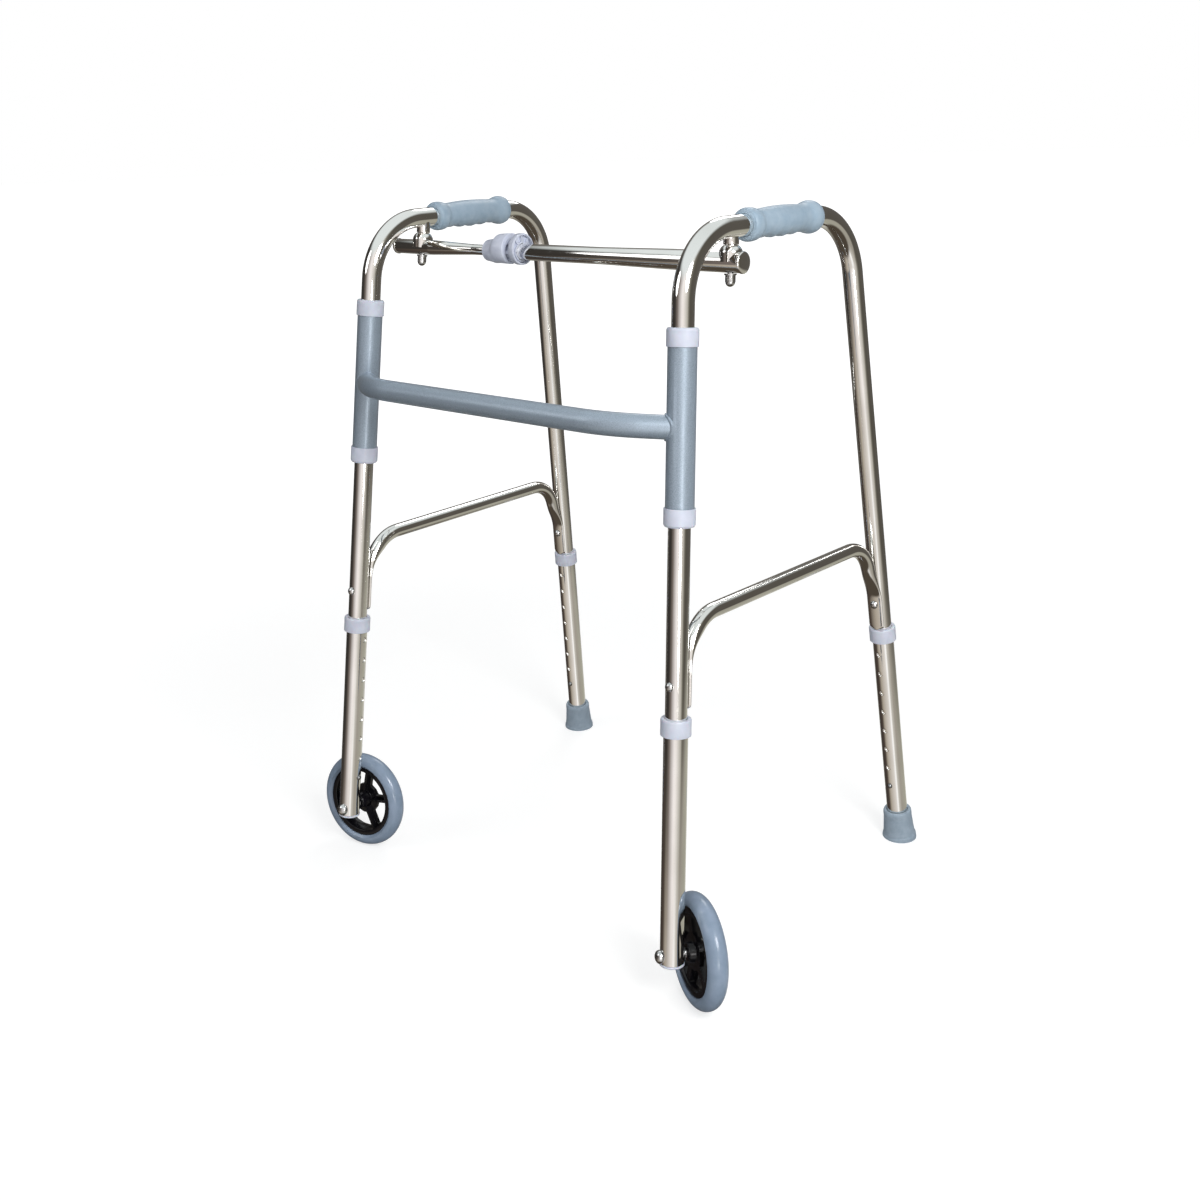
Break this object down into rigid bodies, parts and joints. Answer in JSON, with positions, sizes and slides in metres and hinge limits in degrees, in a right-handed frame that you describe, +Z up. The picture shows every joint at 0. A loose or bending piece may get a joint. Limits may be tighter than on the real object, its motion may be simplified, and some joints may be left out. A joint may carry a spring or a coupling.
{
  "type": "wheeled walker",
  "caption": "Folding height-adjustable walker with two front wheels, rear rubber tips, side handles, and a locking upper bar that telescopes as the sides fold in.",
  "frame": {"origin": "on the floor under the middle of the walker's bounding box", "axes": "+X to the user's left, +Y to the user, who faces -Y, and +Z up"},
  "size_m": [0.6354, 0.4816, 0.7892],
  "materials": {
    "chrome": "polished",
    "frame_paint": "satin",
    "collar_plastic": "satin",
    "grip_plastic": "satin",
    "lock_plastic": "satin",
    "hardware": "bright",
    "spring_steel": "satin",
    "tyre_rubber": "satin",
    "hub_plastic": "gloss",
    "tip_rubber": "matt"
  },
  "bodies": {
    "middle_frame": {"h_frame": "frame_paint", "left_top_sleeve_collar": "collar_plastic", "left_bottom_sleeve_collar": "collar_plastic", "right_top_sleeve_collar": "collar_plastic", "right_bottom_sleeve_collar": "collar_plastic"},
    "left_side": {"left_side_tube": "chrome", "left_brace": "chrome", "left_front_rivet": "hardware", "left_rear_rivet": "hardware", "left_grip": "grip_plastic", "left_bar_lug": "chrome", "left_pivot_stud": "hardware", "left_cap_nut": "hardware"},
    "left_front_leg": {"left_front_lower_tube": "chrome", "left_front_leg_collar": "collar_plastic", "left_end_plug": "collar_plastic", "left_axle_bolt": "hardware", "left_axle_spacer": "hardware", "left_axle_nut": "hardware"},
    "left_wheel": {"left_wheel_hub": "hub_plastic", "left_tyre": "tyre_rubber"},
    "left_rear_leg": {"left_rear_lower_tube": "chrome", "left_rear_leg_collar": "collar_plastic", "left_rubber_tip": "tip_rubber"},
    "left_front_button": {"left_front_snap_clip": "spring_steel"},
    "left_rear_button": {"left_rear_snap_clip": "spring_steel"},
    "right_side": {"right_side_tube": "chrome", "right_brace": "chrome", "right_front_rivet": "hardware", "right_rear_rivet": "hardware", "right_grip": "grip_plastic", "right_bar_lug": "chrome", "right_pivot_stud": "hardware", "right_cap_nut": "hardware"},
    "right_front_leg": {"right_front_lower_tube": "chrome", "right_front_leg_collar": "collar_plastic", "right_end_plug": "collar_plastic", "right_axle_bolt": "hardware", "right_axle_spacer": "hardware", "right_axle_nut": "hardware"},
    "right_wheel": {"right_wheel_hub": "hub_plastic", "right_tyre": "tyre_rubber"},
    "right_rear_leg": {"right_rear_lower_tube": "chrome", "right_rear_leg_collar": "collar_plastic", "right_rubber_tip": "tip_rubber"},
    "right_front_button": {"right_front_snap_clip": "spring_steel"},
    "right_rear_button": {"right_rear_snap_clip": "spring_steel"},
    "upper_bar_outer": {"outer_bar": "chrome", "outer_bar_plug": "chrome", "lock_flange": "lock_plastic", "left_bar_saddle": "chrome"},
    "lock_collar": {"lock_cup": "lock_plastic"},
    "upper_bar_inner": {"inner_bar": "chrome", "inner_bar_plug": "chrome", "inner_bar_bush": "collar_plastic", "right_bar_saddle": "chrome"}
  },
  "joints": [
    {"name": "left_fold", "type": "hinge", "parent": "middle_frame", "child": "left_side", "pos_m": [0.2555, -0.232, 0], "axis": [-0.0439, 0.1127, 0.9927], "range_deg": [0, 31]},
    {"name": "right_fold", "type": "hinge", "parent": "middle_frame", "child": "right_side", "pos_m": [-0.2555, -0.232, 0], "axis": [0.0439, 0.1127, 0.9927], "range_deg": [-31, 0]},
    {"name": "outer_bar_pivot", "type": "hinge", "parent": "left_side", "child": "upper_bar_outer", "pos_m": [0.2225, -0.072, 0.738], "axis": [-0.0439, 0.1127, 0.9927], "range_deg": [-31, 0]},
    {"name": "inner_bar_pivot", "type": "hinge", "parent": "right_side", "child": "upper_bar_inner", "pos_m": [-0.2225, -0.072, 0.738], "axis": [0.0439, 0.1127, 0.9927], "range_deg": [0, 31]},
    {"name": "lock_slide", "type": "slide", "parent": "upper_bar_outer", "child": "lock_collar", "axis": [1, 0, 0], "range_m": [0, 0.0095]},
    {"name": "left_front_leg_slide", "type": "slide", "parent": "left_side", "child": "left_front_leg", "axis": [0.0439, -0.1127, -0.9927], "range_m": [0, 0.1778]},
    {"name": "left_front_button_press", "type": "slide", "parent": "left_side", "child": "left_front_button", "axis": [0.8582, -0.5044, 0.0952], "range_m": [0, 0.0045], "stiffness_N_per_m": 1500, "deforming": ["left_front_snap_clip"]},
    {"name": "left_rear_leg_slide", "type": "slide", "parent": "left_side", "child": "left_rear_leg", "axis": [0.0496, 0.1067, -0.993], "range_m": [0, 0.1778]},
    {"name": "left_rear_button_press", "type": "slide", "parent": "left_side", "child": "left_rear_button", "axis": [0.0209, 0.9939, 0.1079], "range_m": [0, 0.0045], "stiffness_N_per_m": 1500, "deforming": ["left_rear_snap_clip"]},
    {"name": "left_wheel_spin", "type": "hinge", "parent": "left_front_leg", "child": "left_wheel", "pos_m": [0.25281, -0.2251, 0.06084], "axis": [0.5114, 0.8561, -0.0745], "continuous": true},
    {"name": "right_front_leg_slide", "type": "slide", "parent": "right_side", "child": "right_front_leg", "axis": [-0.0439, -0.1127, -0.9927], "range_m": [0, 0.1778]},
    {"name": "right_front_button_press", "type": "slide", "parent": "right_side", "child": "right_front_button", "axis": [-0.9814, -0.1812, 0.0639], "range_m": [0, 0.0045], "stiffness_N_per_m": 1500, "deforming": ["right_front_snap_clip"]},
    {"name": "right_rear_leg_slide", "type": "slide", "parent": "right_side", "child": "right_rear_leg", "axis": [-0.0496, 0.1067, -0.993], "range_m": [0, 0.1778]},
    {"name": "right_rear_button_press", "type": "slide", "parent": "right_side", "child": "right_rear_button", "axis": [-0.0209, 0.9939, 0.1079], "range_m": [0, 0.0045], "stiffness_N_per_m": 1500, "deforming": ["right_rear_snap_clip"]},
    {"name": "right_wheel_spin", "type": "hinge", "parent": "right_front_leg", "child": "right_wheel", "pos_m": [-0.25278, -0.22502, 0.06153], "axis": [-0.1871, 0.977, -0.1026], "continuous": true}
  ],
  "couplings": [
    {"joint": "right_fold", "follows": "left_fold", "ratio": -1},
    {"joint": "outer_bar_pivot", "follows": "left_fold", "ratio": -1},
    {"joint": "inner_bar_pivot", "follows": "left_fold", "ratio": 1}
  ]
}
